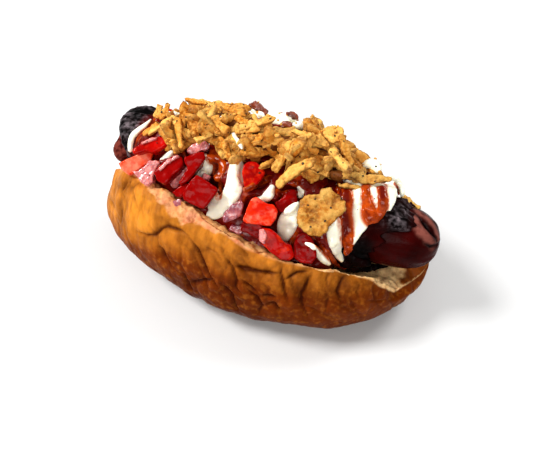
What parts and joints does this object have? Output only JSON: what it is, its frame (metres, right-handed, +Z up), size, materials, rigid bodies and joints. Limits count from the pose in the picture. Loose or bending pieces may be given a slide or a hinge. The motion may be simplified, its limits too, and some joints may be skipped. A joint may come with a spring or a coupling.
{
  "type": "hot dog",
  "caption": "Loaded hot dog in a soft split bun: bacon-wrapped sausage, diced tomato and pink onion, mayonnaise and hot sauce, with a heap of crispy fried onions on top.",
  "frame": {"origin": "middle of the footprint, on the surface that the bun rests on", "axes": "+X along the bun towards the end where the bare sausage shows, +Z up, -Y towards the side where the diced vegetables show"},
  "size_m": [0.1564, 0.088, 0.0762],
  "materials": {
    "crust": "soft baked crust, golden brown, darker in the creases",
    "sausage": "glossy dark red-brown skin",
    "bacon": "charred, crinkled, partly glossy",
    "sauces": "wet mayonnaise and red-brown hot sauce",
    "tomato": "wet cut flesh and skin",
    "pink_onion": "wet, translucent",
    "fried_onion": "dry crisp batter, golden with darker edges"
  },
  "bodies": {
    "root": {"sausage": "sausage", "bacon_wrap": "bacon", "tomato_01": "tomato", "tomato_02": "tomato", "tomato_03": "tomato", "tomato_04": "tomato", "tomato_05": "tomato", "tomato_06": "tomato", "tomato_07": "tomato", "tomato_08": "tomato", "tomato_09": "tomato", "tomato_10": "tomato", "tomato_11": "tomato", "tomato_12": "tomato", "tomato_13": "tomato", "tomato_14": "tomato", "tomato_15": "tomato", "pink_onion_01": "pink_onion", "pink_onion_02": "pink_onion", "pink_onion_03": "pink_onion", "pink_onion_04": "pink_onion", "pink_onion_05": "pink_onion", "pink_onion_06": "pink_onion", "bacon_bit_01": "bacon", "bacon_bit_02": "bacon", "bacon_bit_03": "bacon", "bun": "crust", "filling": "sauces", "fried_onion_flake": "fried_onion", "fried_onion_long_flake": "fried_onion", "fried_onions": "fried_onion"}
  },
  "joints": []
}
